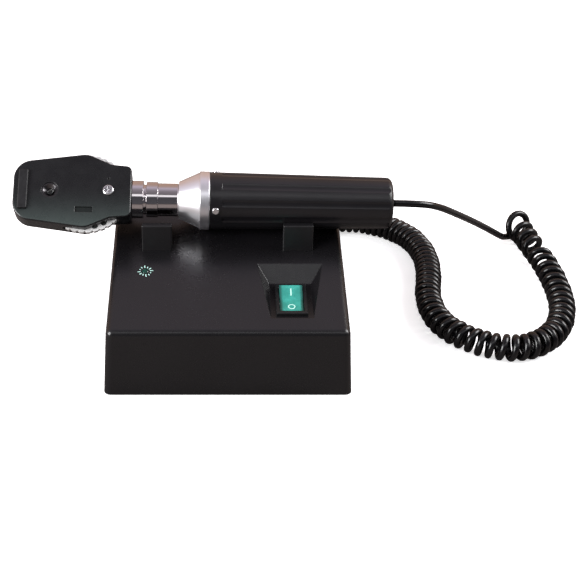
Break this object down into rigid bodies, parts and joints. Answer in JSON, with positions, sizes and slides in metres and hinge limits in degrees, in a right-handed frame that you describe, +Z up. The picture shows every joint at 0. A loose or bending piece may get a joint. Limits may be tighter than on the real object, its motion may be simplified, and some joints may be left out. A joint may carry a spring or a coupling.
{
  "type": "desk ophthalmoscope",
  "caption": "Direct ophthalmoscope lying on a sloped desk power-supply base, with a fluted handle, flat lens-disc head, rocker switch and curly cord.",
  "frame": {"origin": "on the table under the centre of the base footprint", "axes": "+X along the instrument towards its cord end, +Y to the back of the base, +Z up"},
  "size_m": [0.2896, 0.1674, 0.0898],
  "materials": {
    "black_abs": "semi-gloss moulded",
    "black_head": "satin moulded",
    "black_barrel": "satin moulded",
    "black_rubber": "matte",
    "cord_pvc": "satin",
    "chrome": "polished",
    "satin_aluminium": "satin",
    "steel": "plated",
    "brass": "turned",
    "copper_winding": "taped winding",
    "laminations": "varnished stack",
    "green_lens": "translucent",
    "clear_glass": "polished",
    "mirror": "silvered",
    "board": "solder resist",
    "pale_disc": "polished",
    "insulator": "moulded"
  },
  "bodies": {
    "base": {"base_shell": "black_abs", "bottom_plate": "black_abs", "bottom_screws": "steel", "rubber_mat": "black_rubber", "transformer_core": "laminations", "transformer_winding": "copper_winding", "transformer_clamp": "steel", "clamp_screws": "steel", "circuit_board": "board", "board_parts": "insulator", "stop_peg_left": "black_abs", "stop_peg_right": "black_abs", "pilot_lens": "green_lens", "pilot_lamp": "insulator", "switch_housing": "black_abs", "switch_pin": "steel", "switch_terminals": "brass", "mains_inlet": "black_abs", "inlet_pins": "brass", "inlet_screws": "steel", "fuse_holder": "black_abs", "cord_gland": "black_rubber", "cord_lead": "cord_pvc", "cord_curl": "cord_pvc", "cord_tail": "cord_pvc"},
    "switch_rocker": {"switch_rocker": "green_lens"},
    "fuse_cap": {"fuse_cap": "black_abs"},
    "handle": {"barrel": "black_barrel", "barrel_screws": "chrome", "adapter_cone": "satin_aluminium", "neck_sleeve": "chrome", "lamp_base": "brass", "lamp_glass": "clear_glass", "contact_pin": "brass", "contact_spring": "steel", "contact_carrier": "insulator", "insulating_tube": "insulator", "terminal_block": "insulator", "terminal_screws": "steel", "end_grommet": "black_rubber"},
    "lock_ring": {"lock_ring": "chrome"},
    "head": {"head_socket": "chrome", "front_cover": "black_head", "rear_cover": "black_head", "disc_axle": "steel", "eye_ring": "steel", "brow_rest": "black_rubber", "cover_screws": "steel", "face_screw": "chrome", "detent_spring": "steel", "dioptre_window": "clear_glass", "wheel_axle": "steel", "condenser_tube": "black_head", "condenser_lens": "clear_glass", "mirror_block": "black_head", "mirror": "mirror", "patient_window": "clear_glass"},
    "lens_disc": {"lens_disc": "pale_disc", "disc_lenses": "clear_glass"},
    "filter_wheel": {"filter_wheel": "black_head"}
  },
  "joints": [
    {"name": "handset_lift", "type": "slide", "parent": "base", "child": "handle", "axis": [0, 0, 1], "range_m": [0, 0.08]},
    {"name": "lock_ring_turn", "type": "hinge", "parent": "handle", "child": "lock_ring", "pos_m": [-0.0374, 0.02289, 0.06926], "axis": [0.9998, 0, -0.0175], "range_deg": [0, 45]},
    {"name": "head_pull", "type": "slide", "parent": "handle", "child": "head", "axis": [-0.9998, 0, 0.0175], "range_m": [0, 0.03]},
    {"name": "lens_disc_turn", "type": "hinge", "parent": "head", "child": "lens_disc", "pos_m": [-0.06983, 0.02006, 0.07346], "axis": [0.0138, -0.6157, 0.7879], "continuous": true},
    {"name": "filter_wheel_turn", "type": "hinge", "parent": "head", "child": "filter_wheel", "pos_m": [-0.06498, 0.02689, 0.06462], "axis": [0.9998, 0, -0.0175], "continuous": true},
    {"name": "switch_rock", "type": "hinge", "parent": "base", "child": "switch_rocker", "pos_m": [0.0307, -0.02285, 0.03631], "axis": [1, 0, 0], "range_deg": [-18, 0]},
    {"name": "fuse_cap_turn", "type": "hinge", "parent": "base", "child": "fuse_cap", "pos_m": [0.022, 0.048, 0.038], "axis": [0, 1, 0], "range_deg": [-90, 0]}
  ]
}
